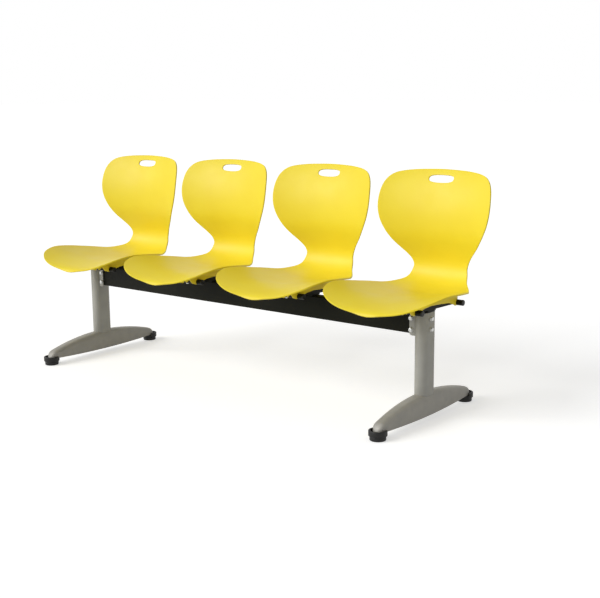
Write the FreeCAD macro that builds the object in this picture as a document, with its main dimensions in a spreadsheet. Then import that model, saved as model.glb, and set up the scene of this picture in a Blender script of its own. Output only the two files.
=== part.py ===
"""Four-seat beam seating: moulded shells on a steel beam between two column legs with levelling glides.

Millimetres. +X runs along the beam, -Y is the side that people sit facing, +Z is up. The origin lies on the
floor under the middle of the beam.
"""
import FreeCAD
import Part
import Sketcher
import math
import os
import re
from FreeCAD import Vector

# Driving sizes
# Each row: name, size in millimetres or degrees, what it is.
SIZES = (
    ("seat_pitch", 480, "from one seat's middle to the next"),
    ("leg_overhang", 79, "from the end seat's middle to the leg's middle"),
    ("beam_bottom", 293.5, "floor to the beam's underside"),
    ("beam_depth", 80, "beam, vertical"),
    ("beam_width", 40, "beam, front to back"),
    ("beam_wall", 2.5, "wall of the beam's tube"),
    ("beam_corner", 4, "outer corner radius of the beam's tube"),
    ("column_width", 48, "leg column along the beam"),
    ("column_depth", 80, "leg column front to back"),
    ("column_wall", 2.5, "wall of the column's tube"),
    ("column_top_gap", 0.5, "top of the column cap to the level of the beam's top"),
    ("beam_end_gap", 3, "beam's end to the leg bracket's web"),
    ("column_socket", 31, "how far the column reaches down into the foot"),
    ("cap_flange", 3, "thickness of the column cap's rim"),
    ("cap_plug", 12, "how far the column cap's plug reaches in"),
    ("slip_fit", 0.2, "clearance all round pieces that slip into each other"),
    ("plate", 4, "leg bracket plate"),
    ("flange_reach", 22, "how far the leg bracket's flanges reach over the beam"),
    ("flange_drop", 5.5, "how far the flanges hang below the beam"),
    ("flange_corner", 10, "rounded corner of the flanges"),
    ("foot_nose", 12, "end of the foot past the middle of its glide"),
    ("foot_crown", 93, "top of the foot above the floor"),
    ("foot_arch_radius", 960, "arch of the foot's back"),
    ("foot_belly", 19, "lowest point between the foot's heels, above the floor"),
    ("foot_heel_inset", 28, "inner end of a heel's flat from the middle of the glide"),
    ("foot_half_width", 34, "half the foot's width in the middle"),
    ("foot_end_radius", 21.5, "round ends of the foot seen from above"),
    ("foot_top_round", 9.5, "rounded upper edges of the foot, in two flats"),
    ("foot_nose_round", 18, "drop of the foot's back over its nose"),
    ("glide_reach", 274, "leg's middle to a glide's middle"),
    ("glide_base_height", 14, "levelling base"),
    ("glide_base_radius", 27, "levelling base"),
    ("glide_gap", 0.3, "levelling base to the cup above it, screwed right in"),
    ("cup_floor", 9.5, "cup's underside to the foot's heel"),
    ("cup_height", 19, "cup's underside to its rim"),
    ("cup_radius", 31, "outside of the cup"),
    ("cup_foot_play", 3, "foot's side to the cup's wall"),
    ("stem_radius", 5, "threaded stem of a glide"),
    ("stem_play", 0.3, "stem to what it passes through"),
    ("stem_top", 43, "top of the stem above the floor"),
    ("stem_end_room", 2, "room in the foot's bore above the stem"),
    ("cross_tube_radius", 10, "seat bracket's cross tubes"),
    ("cross_tube_half", 135, "half the length of a cross tube"),
    ("front_tube_reach", 110, "front cross tube in front of the beam's middle"),
    ("front_tube_rise", 14.5, "front cross tube above the beam's top"),
    ("rear_tube_reach", 150, "rear cross tube behind the beam's middle"),
    ("rear_tube_rise", 7.5, "rear cross tube above the beam's top"),
    ("arm_width", 20, "seat bracket's arms, along the beam"),
    ("arm_depth", 12, "seat bracket's arms, vertical"),
    ("arm_spread", 95, "an arm's middle from the seat's middle"),
    ("saddle_half_length", 105, "half the saddle plate, along the beam"),
    ("saddle_half_width", 24, "half the saddle plate, front to back"),
    ("saddle_thick", 6, "saddle plate on the beam"),
    ("post_spread", 60, "posts under the shell, from the seat's middle"),
    ("post_width", 16, "square posts that stand on the cross tubes"),
    ("shell_wall", 5, "wall of the moulded shell"),
    ("shell_bow_radius", 760, "sideways hollow of the shell"),
    ("shell_blank_half", 238, "half the shell's width before its outline is cut"),
    ("outline_flatness", 1.5, "how far the outline's straight pieces may cut inside its smooth curve"),
    ("lip_reach", 234, "front of the shell's lip from the beam's middle"),
    ("lip_rise", 8.5, "lower end of the lip above the beam's top"),
    ("tube_seat_play", 0.3, "cross tube to the shell's ribs and bosses"),
    ("rib_thick", 4, "side ribs under the shell"),
    ("rib_spread", 112, "side ribs from the seat's middle"),
    ("slot_half_length", 49, "hand slot"),
    ("slot_half_height", 13.5, "hand slot, seen from the front"),
    ("slot_drop", 32, "hand slot's middle below the top edge"),
)

# The shell's middle line from its lip to its top: name, radius, turn in degrees (up is positive), facets.
SHELL_ARCS = (
    ("lip", 16, -64, 2),
    ("nose", 130, -12, 1),
    ("thigh", 410, -17, 2),
    ("pan", None, 184, 1),
    ("hollow", 190, 25, 2),
    ("bend", 71, 93, 5),
    ("waist", None, 54, 1),
    ("lumbar", 150, -21, 2),
    ("back", 320, -38, 3),
)

# The shell's outline in plan: name, half width, distance behind the lip.
PAN_OUTLINE = (
    ("front", 0, 1),
    ("front_round", 118, 5),
    ("front_corner", 177, 24),
    ("side_front", 214, 66),
    ("side_widest", 231, 140),
    ("side_middle", 225, 201),
    ("side_rear", 194, 306),
    ("seat_notch", 150, 394),
    ("waist_turn", 116, 437),
    ("waist_side", 104.5, 460),
)

# The shell's outline seen from the front: name, half width, distance below the top edge.
BACK_OUTLINE = (
    ("waist_edge", 104.5, 340),
    ("waist_flare", 112, 320),
    ("flare", 146, 278),
    ("flare_end", 192, 216),
    ("back_widest", 219, 142),
    ("back_side", 218, 89),
    ("top_corner", 204, 46),
    ("top_round", 179, 20),
    ("top_flank", 100, 5),
    ("top_middle", 0, 0),
)

# Lower edge of a side rib: name, distance behind the beam's middle, height above the beam's top.
RIB_EDGE = (
    ("comb_start", -212, 28),
    ("comb_first_tip", -187, 20.5),
    ("comb_first_root", -178, 29),
    ("comb_second_tip", -168, 19.5),
    ("comb_second_root", -154, 29),
    ("hook_tip", -138, 11.5),
    ("hook_rear", -90, 12.5),
    ("arch_front", -60, 19),
    ("arch_top", -20, 22),
    ("arch_rear", 40, 18.5),
    ("rear_root", 96, 13),
    ("rear_hook", 126, 4),
    ("rear_tip", 152, -2.5),
)

SEATS = 4
SIDES = (("left", -1), ("right", 1))
ENDS = (("front", -1), ("rear", 1))

doc = FreeCAD.newDocument("beam_seating")
sheet = doc.addObject("Spreadsheet::Sheet", "Sizes")


def table_rows():
    """Every driving size with its name and note."""
    rows = list(SIZES)
    for name, radius, turn, _ in SHELL_ARCS:
        if radius is None:
            rows.append((name + "_run", turn, "straight run of the shell's middle line"))
        else:
            rows.append((name + "_radius", radius, "arc of the shell's middle line"))
            rows.append((name + "_turn", turn, "turn of that arc, degrees"))
    for name, half_width, setback in PAN_OUTLINE:
        rows.append((name + "_half", half_width, "half width of the seat's outline"))
        rows.append((name + "_back", setback, "that point behind the lip"))
    for name, half_width, drop in BACK_OUTLINE:
        rows.append((name + "_half", half_width, "half width of the back's outline"))
        rows.append((name + "_drop", drop, "that point below the top edge"))
    for name, reach, rise in RIB_EDGE:
        rows.append((name + "_reach", reach, "point of the side rib's lower edge"))
        rows.append((name + "_rise", rise, "that point above the beam's top"))
    return rows


names = []
for row, (name, value, note) in enumerate(table_rows(), start=1):
    sheet.set("A%d" % row, name)
    sheet.set("B%d" % row, str(value))
    sheet.set("C%d" % row, note)
    sheet.setAlias("B%d" % row, name)
    names.append(name)
doc.recompute()
size = {name: float(sheet.get(name)) for name in names}


# Places that several pieces share, in the words of the sheet
BEAM_TOP = "(beam_bottom + beam_depth)"
LEG_AXIS = "(%g * seat_pitch + leg_overhang)" % ((SEATS - 1) / 2)
WEB_FACE = "(column_width / 2 + plate)"
CUP_BOTTOM = "(glide_base_height + glide_gap)"
HEEL = "(glide_base_height + glide_gap + cup_floor)"
SOCKET_FLOOR = "(foot_crown - column_socket)"
COLUMN_TOP = "(beam_bottom + beam_depth - column_top_gap - cap_flange)"


def words(text):
    """The same formula with each size's name pointing at the sheet."""
    return re.sub(r"[a-z][a-z_]*", lambda m: "Sizes." + m.group() if m.group() in size else m.group(), text)


def bind(thing, path, text):
    thing.setExpression(path, words(text))


def place(thing, x="0", y="0", z="0"):
    """Puts a piece where the sheet says."""
    for axis, text in (("x", x), ("y", y), ("z", z)):
        bind(thing, "Placement.Base." + axis, text)
    return thing


# Sketches and solid features
ORIGIN = (-1, 1)
START, END, MIDDLE = range(1, 4)


def new_body(label):
    body = doc.addObject("PartDesign::Body", label)
    body.Label = label
    return body


def new_sketch(body, plane, name, offset=None):
    """A sketch on one of the body's own origin planes, lifted off it by offset."""
    sketch = body.newObject("Sketcher::SketchObject", name)
    support = [item for item in body.Origin.OriginFeatures if item.Role == plane][0]
    sketch.AttachmentSupport = [(support, "")]
    sketch.MapMode = "FlatFace"
    if offset is not None:
        bind(sketch, "AttachmentOffset.Base.z", offset)
    return sketch


def pin(sketch, shape, point, u=None, v=None, near=(1.0, 1.0)):
    """Ties one point of a sketch's shape to the sheet, measured from the sketch's origin; near is rough."""
    for kind, text, start in (("DistanceX", u, near[0]), ("DistanceY", v, near[1])):
        if text is not None:
            tie = Sketcher.Constraint(kind, ORIGIN[0], ORIGIN[1], shape, point, start)
            sketch.setExpression("Constraints[%d]" % sketch.addConstraint(tie), words(text))


def radius(sketch, shape, text, start):
    index = sketch.addConstraint(Sketcher.Constraint("Radius", shape, start))
    sketch.setExpression("Constraints[%d]" % index, words(text))


def polygon(sketch, corners):
    """A closed outline of straight lines whose corners are tied to the sheet."""
    count = len(corners)
    ring = [Vector(math.cos(2 * math.pi * k / count), math.sin(2 * math.pi * k / count), 0) for k in range(count)]
    first = sketch.GeometryCount
    for k in range(count):
        sketch.addGeometry(Part.LineSegment(ring[k], ring[(k + 1) % count]))
    for k in range(count):
        sketch.addConstraint(Sketcher.Constraint("Coincident", first + k, END, first + (k + 1) % count, START))
    for k, (u, v) in enumerate(corners):
        pin(sketch, first + k, START, u, v)


def many_sided(sketch, text, sides):
    """A regular outline whose corners lie on a circle of that radius."""
    turns = [2 * math.pi * (k + 0.5) / sides for k in range(sides)]
    polygon(sketch, [("%.9f * %s" % (math.cos(t), text), "%.9f * %s" % (math.sin(t), text)) for t in turns])


def rectangle(sketch, left, right, bottom, top):
    polygon(sketch, ((left, bottom), (right, bottom), (right, top), (left, top)))


def circle(sketch, u, v, text):
    index = sketch.addGeometry(Part.Circle(Vector(0, 0, 0), Vector(0, 0, 1), 1.0))
    radius(sketch, index, text, 1.0)
    pin(sketch, index, MIDDLE, u, v)


def obround(sketch, half_width, half_depth, start):
    """An outline with flat sides and round ends; start holds rough values of both halves."""
    near, far = start
    reach = far - near
    axis = Vector(0, 0, 1)
    top = sketch.addGeometry(Part.ArcOfCircle(Part.Circle(Vector(0, reach, 0), axis, near), 0, math.pi))
    left = sketch.addGeometry(Part.LineSegment(Vector(-near, reach, 0), Vector(-near, -reach, 0)))
    low = sketch.addGeometry(
        Part.ArcOfCircle(Part.Circle(Vector(0, -reach, 0), axis, near), math.pi, 2 * math.pi)
    )
    right = sketch.addGeometry(Part.LineSegment(Vector(near, -reach, 0), Vector(near, reach, 0)))
    for one, other in ((top, left), (left, low), (low, right), (right, top)):
        sketch.addConstraint(Sketcher.Constraint("Tangent", one, END, other, START))
    sketch.addConstraint(Sketcher.Constraint("PointOnObject", top, MIDDLE, -2))
    sketch.addConstraint(Sketcher.Constraint("PointOnObject", low, MIDDLE, -2))
    sketch.addConstraint(Sketcher.Constraint("Equal", top, low))
    radius(sketch, top, half_width, near)
    pin(sketch, top, MIDDLE, v="(%s) - (%s)" % (half_depth, half_width), near=(0, reach))
    pin(sketch, low, MIDDLE, v="(%s) - (%s)" % (half_width, half_depth), near=(0, -reach))


def pad(body, sketch, name, length, both_ways=False, backwards=False):
    feature = body.newObject("PartDesign::Pad", name)
    feature.Profile = sketch
    feature.SideType = "Symmetric" if both_ways else "One side"
    feature.Reversed = backwards
    bind(feature, "Length", length)
    doc.recompute()
    return feature


def pocket(body, sketch, name, length=None, both_ways=False, backwards=False):
    """Cuts a sketch's outline, right through unless it is given a length, and checks that it did cut."""
    before = body.Shape.Volume
    feature = body.newObject("PartDesign::Pocket", name)
    feature.Profile = sketch
    feature.SideType = "Symmetric" if both_ways else "One side"
    feature.Reversed = backwards
    if length is None:
        feature.Type = "ThroughAll"
    else:
        bind(feature, "Length", length)
    doc.recompute()
    if body.Shape.Volume >= before:
        raise RuntimeError("%s in %s cut nothing" % (name, body.Label))
    return feature


def revolve(body, sketch, name):
    feature = body.newObject("PartDesign::Revolution", name)
    feature.Profile = sketch
    feature.ReferenceAxis = (sketch, ["V_Axis"])
    feature.Angle = 360
    doc.recompute()
    return feature


def fillet(body, name, text, wanted):
    """Rounds the edges of the body's last feature that wanted() picks."""
    last = body.Tip
    edges = ["Edge%d" % n for n, edge in enumerate(last.Shape.Edges, start=1) if wanted(edge)]
    feature = body.newObject("PartDesign::Fillet", name)
    feature.Base = (last, edges)
    bind(feature, "Radius", text)
    doc.recompute()
    return feature


def along(edge, axis):
    """Whether an edge is straight and runs along an axis."""
    box = edge.BoundBox
    spans = {"x": box.XLength, "y": box.YLength, "z": box.ZLength}
    return all(span < 0.01 for name, span in spans.items() if name != axis) and spans[axis] > 0.01


kept = []


def keep(thing):
    kept.append(thing)
    return thing


# Beam: rectangular tube
def seat_middle(index):
    return "(%g * seat_pitch)" % (index - (SEATS - 1) / 2)


def make_beam():
    body = new_body("beam")
    outline = new_sketch(body, "YZ_Plane", "beam_section")
    rectangle(outline, "-beam_width / 2", "beam_width / 2", "beam_bottom", BEAM_TOP)
    pad(body, outline, "beam_bar", "2 * (%s - %s - beam_end_gap)" % (LEG_AXIS, WEB_FACE), both_ways=True)
    fillet(body, "beam_corners", "beam_corner", lambda edge: along(edge, "x"))
    bore = new_sketch(body, "YZ_Plane", "beam_bore_section")
    rectangle(
        bore,
        "beam_wall - beam_width / 2",
        "beam_width / 2 - beam_wall",
        "beam_bottom + beam_wall",
        BEAM_TOP + " - beam_wall",
    )
    pocket(body, bore, "beam_bore", "2 * " + LEG_AXIS, both_ways=True)
    keep(body)


# Legs: column, its cap and the bracket that holds the beam
def make_column(side_name, side):
    body = new_body("column_" + side_name)
    start = (size["column_width"] / 2, size["column_depth"] / 2)
    section = new_sketch(body, "XY_Plane", "column_section", SOCKET_FLOOR)
    obround(section, "column_width / 2", "column_depth / 2", start)
    inner = (start[0] - size["column_wall"], start[1] - size["column_wall"])
    obround(section, "column_width / 2 - column_wall", "column_depth / 2 - column_wall", inner)
    pad(body, section, "column_tube", "%s - %s" % (COLUMN_TOP, SOCKET_FLOOR))
    place(body, x="%d * %s" % (side, LEG_AXIS))
    keep(body)


def make_column_cap(side_name, side):
    body = new_body("column_cap_" + side_name)
    start = (size["column_width"] / 2, size["column_depth"] / 2)
    rim = new_sketch(body, "XY_Plane", "cap_rim_section", COLUMN_TOP)
    obround(rim, "column_width / 2", "column_depth / 2", start)
    pad(body, rim, "cap_rim", "cap_flange")
    plug = new_sketch(body, "XY_Plane", "cap_plug_section", COLUMN_TOP)
    half_x, half_y = "(column_width / 2 - column_wall - slip_fit)", "(column_depth / 2 - column_width / 2)"
    rectangle(plug, "-" + half_x, half_x, "-" + half_y, half_y)
    pad(body, plug, "cap_plug_block", "cap_plug", backwards=True)
    return place(body, x="%d * %s" % (side, LEG_AXIS))


def make_column_caps():
    """Both columns' caps, in one node."""
    both = doc.addObject("Part::Compound", "column_caps")
    both.Links = [make_column_cap(side_name, side) for side_name, side in SIDES]
    both.Label = "column_caps"
    keep(both)


def make_leg_bracket(side_name, side):
    """A web against the column's flat and two flanges that hold the beam's end between them."""
    body = new_body("leg_bracket_" + side_name)
    inner = "-%d * %s" % (side, WEB_FACE)
    outer = "-%d * (column_width / 2)" % side
    tip = "-%d * (%s + flange_reach - plate)" % (side, WEB_FACE)
    cheek = "beam_width / 2 + plate"
    seat = "beam_width / 2"
    section = new_sketch(body, "XY_Plane", "bracket_section", "beam_bottom - flange_drop")
    polygon(
        section,
        (
            (outer, "-(%s)" % cheek),
            (outer, cheek),
            (tip, cheek),
            (tip, seat),
            (inner, seat),
            (inner, "-(%s)" % seat),
            (tip, "-(%s)" % seat),
            (tip, "-(%s)" % cheek),
        ),
    )
    pad(body, section, "bracket_channel", "%s - column_top_gap - beam_bottom + flange_drop" % BEAM_TOP)
    low = size["beam_bottom"] - size["flange_drop"]
    far = size["column_width"] / 2 + size["flange_reach"]

    def lower_corner(edge):
        middle = edge.CenterOfMass
        return along(edge, "y") and abs(middle.z - low) < 0.01 and abs(abs(middle.x) - far) < 0.01

    fillet(body, "bracket_corners", "flange_corner", lower_corner)
    place(body, x="%d * %s" % (side, LEG_AXIS))
    keep(body)


# Solids through a row of matching sections
def bow(x, r):
    """How far a circle of radius r has curved away from its tangent at a distance x."""
    return r - math.sqrt(r * r - x * x)


def flat_face(corners):
    return Part.Face(Part.makePolygon(corners + corners[:1]))


def joining_faces(a, b, c, d):
    """The flat face through four corners, or two triangles where they don't lie in one plane."""
    if abs((b - a).cross(c - a).dot(d - a)) < 0.001:
        return [flat_face([a, b, c, d])]
    return [flat_face([a, b, c]), flat_face([a, c, d])]


def section_solid(sections):
    """Joins each side of a section's outline to the same side of the next, and closes both ends."""
    faces = []
    for here, there in zip(sections, sections[1:]):
        for k in range(len(here)):
            faces += joining_faces(here[k - 1], here[k], there[k], there[k - 1])
    for section in (sections[0], sections[-1]):
        faces.append(flat_face(section))
    skin = Part.makeShell(faces)
    skin.sewShape()
    return Part.makeSolid(skin)


def pill(half_width, half_length, depth):
    """A bar with flat sides along Y and round ends, standing on the XY plane."""
    reach = half_length - half_width
    bar = Part.makeBox(2 * half_width, 2 * reach, depth, Vector(-half_width, -reach, 0))
    ends = [Part.makeCylinder(half_width, depth, Vector(0, y, 0)) for y in (-reach, reach)]
    return bar.fuse(ends).removeSplitter()


# Feet: boat-shaped castings with a socket for the column and a bore for each glide's stem
def nose_start():
    """Where the foot's round nose starts, from the leg's middle."""
    return size["glide_reach"] + size["foot_nose"] - size["foot_end_radius"]


def foot_stations():
    """Places along the foot, with how far each has gone round the nose, in degrees."""
    nose = nose_start()
    heel_start = size["glide_reach"] - size["foot_heel_inset"]
    rear = [(0.25 * nose, 0), (0.5 * nose, 0), (0.75 * nose, 0), (heel_start, 0), (nose, 0)]
    for degrees in (35, 60, 80):
        rear.append((nose + size["foot_end_radius"] * math.sin(math.radians(degrees)), degrees))
    return [(-y, degrees) for y, degrees in reversed(rear)] + [(0, 0)] + rear


def foot_section(y, degrees, heel):
    """Corners of the foot's cut face at y: flat beneath, upright sides, upper edges rounded in two flats."""
    nose = nose_start()
    arch, slim, wide = size["foot_arch_radius"], size["foot_end_radius"], size["foot_half_width"]
    if degrees == 0:
        half = slim + (wide - slim) * (1 - (y / nose) ** 2)
    else:
        half = slim * math.cos(math.radians(degrees))
    heel_start = size["glide_reach"] - size["foot_heel_inset"]
    bottom = size["foot_belly"] + (heel - size["foot_belly"]) * min(1, (y / heel_start) ** 2)
    past = max(0, abs(y) - size["glide_reach"] - size["foot_nose"] + size["foot_nose_round"])
    top = size["foot_crown"] - bow(y, arch) - bow(past, size["foot_nose_round"])
    corner = min(size["foot_top_round"], 0.9 * half)
    lean = corner * (1 - math.sqrt(0.5))

    rising = ((half, bottom), (half, top - corner), (half - lean, top - lean), (half - corner, top))
    return [Vector(x, y, z) for x, z in rising] + [Vector(-x, y, z) for x, z in rising[::-1]]


def make_feet():
    heel = size["glide_base_height"] + size["glide_gap"] + size["cup_floor"]
    play = size["slip_fit"]
    foot = section_solid([foot_section(y, degrees, heel) for y, degrees in foot_stations()])
    socket_floor = size["foot_crown"] - size["column_socket"]
    socket = pill(size["column_width"] / 2 + play, size["column_depth"] / 2 + play, size["foot_crown"])
    socket.translate(Vector(0, 0, socket_floor))
    bore_radius = size["stem_radius"] + size["stem_play"]
    bore_top = size["stem_top"] + size["stem_end_room"]
    tools = [socket]
    for _, end in ENDS:
        tools.append(Part.makeCylinder(bore_radius, bore_top, Vector(0, end * size["glide_reach"], 0)))
    foot = foot.cut(tools)
    for side_name, side in SIDES:
        feature = doc.addObject("Part::Feature", "foot_" + side_name)
        feature.Label = "foot_" + side_name
        feature.Shape = foot
        place(feature, x="%d * %s" % (side, LEG_AXIS))
        keep(feature)


# Glides: a plastic cup under each nose, and a levelling base moulded on a threaded stem
def make_cup(side_name, side, end_name, end):
    body = new_body("glide_cup_%s_%s" % (side_name, end_name))
    section = new_sketch(body, "XZ_Plane", "cup_section")
    hole = "stem_radius + stem_play"
    rectangle(section, hole, "cup_radius", CUP_BOTTOM, "%s + cup_height" % CUP_BOTTOM)
    revolve(body, section, "cup_solid")
    nose = new_sketch(body, "XY_Plane", "cup_pocket_round", HEEL)
    circle(nose, "0", "0", "foot_end_radius + cup_foot_play")
    pocket(body, nose, "cup_nose_pocket", "cup_height", backwards=True)
    notch = new_sketch(body, "XY_Plane", "cup_pocket_notch", HEEL)
    half = "(foot_end_radius + cup_foot_play)"
    rectangle(notch, "-" + half, half, "0", "-%d * (cup_radius + 1)" % end)
    pocket(body, notch, "cup_foot_notch", "cup_height", backwards=True)
    return place(body, x="%d * %s" % (side, LEG_AXIS), y="%d * glide_reach" % end)


def make_cups(side_name, side):
    """The two cups of one foot, in one node."""
    both = doc.addObject("Part::Compound", "glide_cups_" + side_name)
    both.Links = [make_cup(side_name, side, end_name, end) for end_name, end in ENDS]
    both.Label = "glide_cups_" + side_name
    keep(both)


def make_glide(side_name, side, end_name, end):
    """The levelling base moulded on its stem, round pieces drawn with many flats; both travel together."""
    body = new_body("glide_%s_%s" % (side_name, end_name))
    base = new_sketch(body, "XY_Plane", "glide_base_outline")
    many_sided(base, "glide_base_radius", 32)
    pad(body, base, "glide_base", "glide_base_height")
    stem = new_sketch(body, "XY_Plane", "glide_stem_outline", "glide_base_height")
    many_sided(stem, "stem_radius", 12)
    pad(body, stem, "glide_stem", "stem_top - glide_base_height")
    place(body, x="%d * %s" % (side, LEG_AXIS), y="%d * glide_reach" % end)
    keep(body)


# Seat brackets: a saddle plate on the beam, two arms and two cross tubes, welded
TUBES = (
    ("front", "-front_tube_reach", "(%s + front_tube_rise)" % BEAM_TOP),
    ("rear", "rear_tube_reach", "(%s + rear_tube_rise)" % BEAM_TOP),
)


def make_seat_bracket(index):
    body = new_body("seat_bracket_%d" % (index + 1))
    plate = new_sketch(body, "XY_Plane", "saddle_outline", BEAM_TOP)
    half_x, half_y = "saddle_half_length", "saddle_half_width"
    rectangle(plate, "-" + half_x, half_x, "-" + half_y, half_y)
    pad(body, plate, "saddle_plate", "saddle_thick")
    (_, front_y, front_z), (_, rear_y, rear_z) = TUBES
    for side in (-1, 1):
        middle = "%d * arm_spread" % side
        arm = new_sketch(body, "YZ_Plane", "arm_side_view", middle)
        half = "arm_depth / 2"
        polygon(
            arm,
            (
                (front_y, "%s - %s" % (front_z, half)),
                (rear_y, "%s - %s" % (rear_z, half)),
                (rear_y, "%s + %s" % (rear_z, half)),
                (front_y, "%s + %s" % (front_z, half)),
            ),
        )
        pad(body, arm, "arm", "arm_width", both_ways=True)
    tubes = new_sketch(body, "YZ_Plane", "cross_tube_places")
    for _, y, z in TUBES:
        circle(tubes, y, z, "cross_tube_radius")
    pad(body, tubes, "cross_tubes", "2 * cross_tube_half", both_ways=True)
    place(body, x=seat_middle(index))
    keep(body)


# Seat shell: a bowed strip that follows the middle line, cut to its outline, with ribs and posts beneath.
# It is made with its origin over the beam's top, under the seat's middle.
def shell_line():
    """Points on the middle line of the sitting surface, from the lip to the top edge, as (y, z)."""
    y, z, angle = -size["lip_reach"], size["lip_rise"], math.pi / 2
    line = [(y, z)]
    for name, arc_radius, _, steps in SHELL_ARCS:
        if arc_radius is None:
            run = size[name + "_run"]
            y, z = y + run * math.cos(angle), z + run * math.sin(angle)
            line.append((y, z))
            continue
        turn = math.radians(size[name + "_turn"])
        bend = math.copysign(size[name + "_radius"], turn)
        for step in range(1, steps + 1):
            now = angle + turn * step / steps
            across, up = math.sin(now) - math.sin(angle), math.cos(angle) - math.cos(now)
            line.append((y + bend * across, z + bend * up))
        y, z = line[-1]
        angle += turn
    return line


def bowed_strip(line):
    """A bowed section of six flats swept along the middle line, mitred where the line turns."""
    (y, z), (next_y, next_z) = line[:2]
    angle = math.atan2(next_z - z, next_y - y)
    normal = Vector(0, -math.sin(angle), math.cos(angle))
    r, half, wall = size["shell_bow_radius"], size["shell_blank_half"], size["shell_wall"]

    def spot(x, down):
        return Vector(x, y, z) + normal * (bow(x, r + down) - down)

    across = [half * k / 3 for k in range(-3, 4)]
    ring = [spot(x, 0) for x in across] + [spot(x, wall) for x in across[::-1]]
    section = Part.makePolygon(ring + ring[:1])
    spine = Part.makePolygon([Vector(0, *point) for point in line])
    mitred = 1
    return spine.makePipeShell([section], True, False, mitred)


def smooth_outline(points):
    """Corners along a smooth curve through the points and their mirror images, from left to right."""
    mirrored = [Vector(-p.x, p.y, p.z) for p in reversed(points) if p.x > 0]
    curve = Part.BSplineCurve()
    curve.interpolate(mirrored + points)
    middle = (curve.FirstParameter + curve.LastParameter) / 2
    half = curve.toShape(middle, curve.LastParameter).discretize(Deflection=size["outline_flatness"])
    return [Vector(-p.x, p.y, p.z) for p in half[:0:-1]] + half


def outline_solid(line):
    """All that lies within the seat's outline in plan and the back's outline from the front."""
    top_y, top_z = line[-1]
    waist_z = top_z - size["waist_edge_drop"]
    below = size["lip_rise"] - 2 * size["shell_wall"]
    deep = top_y + size["lip_reach"]
    pan = [
        Vector(size[name + "_half"], size[name + "_back"] - size["lip_reach"], below)
        for name, _, _ in PAN_OUTLINE
    ]
    rear_corners = [Vector(pan[-1].x, deep, below), Vector(-pan[-1].x, deep, below)]
    seat = flat_face(smooth_outline(pan) + rear_corners).extrude(Vector(0, 0, waist_z - below))
    back = [Vector(size[name + "_half"], 0, top_z - size[name + "_drop"]) for name, _, _ in BACK_OUTLINE]
    over = flat_face(smooth_outline(back[::-1])).extrude(Vector(0, deep, 0))
    return seat.fuse(over)


def wall_middle(line, x, y):
    """Height of the middle of the shell's wall, under the seat, at a place in plan."""
    lift = bow(x, size["shell_bow_radius"]) - size["shell_wall"] / 2
    runs = [math.atan2(there[1] - here[1], there[0] - here[0]) for here, there in zip(line, line[1:])]
    lifted = []
    for point, before, after in zip(line, runs[:1] + runs, runs + runs[-1:]):
        lean, reach = (before + after) / 2, lift / math.cos((after - before) / 2)
        lifted.append((point[0] - reach * math.sin(lean), point[1] + reach * math.cos(lean)))
    for (y_one, z_one), (y_two, z_two) in zip(lifted, lifted[1:]):
        if y_one <= y <= y_two:
            return z_one + (z_two - z_one) * (y - y_one) / (y_two - y_one)
    raise ValueError("no wall over y = %g" % y)


def side_rib(line, side):
    """A rib whose lower edge is a comb in front and hooks down at both cross tubes."""
    x = size["rib_spread"] * side
    edge = [(size[name + "_reach"], size[name + "_rise"]) for name, _, _ in RIB_EDGE]
    front, rear = edge[0][0], edge[-1][0]
    inner = [y for y, _ in line if front < y < rear]
    top = [(y, wall_middle(line, abs(x), y)) for y in [rear] + inner[::-1] + [front]]
    corners = [Vector(x - size["rib_thick"] / 2, y, z) for y, z in edge + top]
    return flat_face(corners).extrude(Vector(size["rib_thick"], 0, 0))


def make_shells():
    line = shell_line()
    shell = bowed_strip(line).common(outline_solid(line))
    tubes = (
        (-size["front_tube_reach"], size["front_tube_rise"]),
        (size["rear_tube_reach"], size["rear_tube_rise"]),
    )
    added, removed = [], []
    width = size["post_width"]
    for side in (-1, 1):
        added.append(side_rib(line, side))
        for y, z in tubes:
            x = side * size["post_spread"]
            top = wall_middle(line, abs(x), y)
            added.append(Part.makeBox(width, width, top - z, Vector(x - width / 2, y - width / 2, z)))
    for y, z in tubes:
        start = Vector(-size["shell_blank_half"], y, z)
        seat_radius = size["cross_tube_radius"] + size["tube_seat_play"]
        removed.append(Part.makeCylinder(seat_radius, 2 * size["shell_blank_half"], start, Vector(1, 0, 0)))
    _, top_z = line[-1]
    slot = pill(size["slot_half_height"], size["slot_half_length"], 3 * size["lip_reach"])
    slot.rotate(Vector(0, 0, 0), Vector(0, 0, 1), 90)
    slot.rotate(Vector(0, 0, 0), Vector(1, 0, 0), -90)
    slot.translate(Vector(0, 0, top_z - size["slot_drop"]))
    removed.append(slot)
    shell = shell.fuse(added).cut(removed)
    for index in range(SEATS):
        feature = doc.addObject("Part::Feature", "seat_shell_%d" % (index + 1))
        feature.Label = "seat_shell_%d" % (index + 1)
        feature.Shape = shell
        place(feature, x=seat_middle(index), z=BEAM_TOP)
        keep(feature)


make_beam()
for side_name, side in SIDES:
    make_column(side_name, side)
    make_leg_bracket(side_name, side)
    make_cups(side_name, side)
    for end_name, end in ENDS:
        make_glide(side_name, side, end_name, end)
make_column_caps()
make_feet()
for index in range(SEATS):
    make_seat_bracket(index)
make_shells()

# Checks and export
doc.recompute()
for thing in doc.Objects:
    if "Invalid" in thing.State or "Error" in thing.State:
        raise RuntimeError("%s failed: %s" % (thing.Name, thing.State))
for thing in kept:
    if thing.Shape.isNull() or not thing.Shape.isValid():
        raise RuntimeError("%s has no valid shape" % thing.Label)

os.makedirs("parts", exist_ok=True)
for thing in kept:
    thing.Shape.exportStep("parts/%s.step" % thing.Label)
    solids = len(thing.Shape.Solids)
    print("%-28s %3d solids %12.0f mm3" % (thing.Label, solids, thing.Shape.Volume))
print(len(kept), "nodes")
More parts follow.
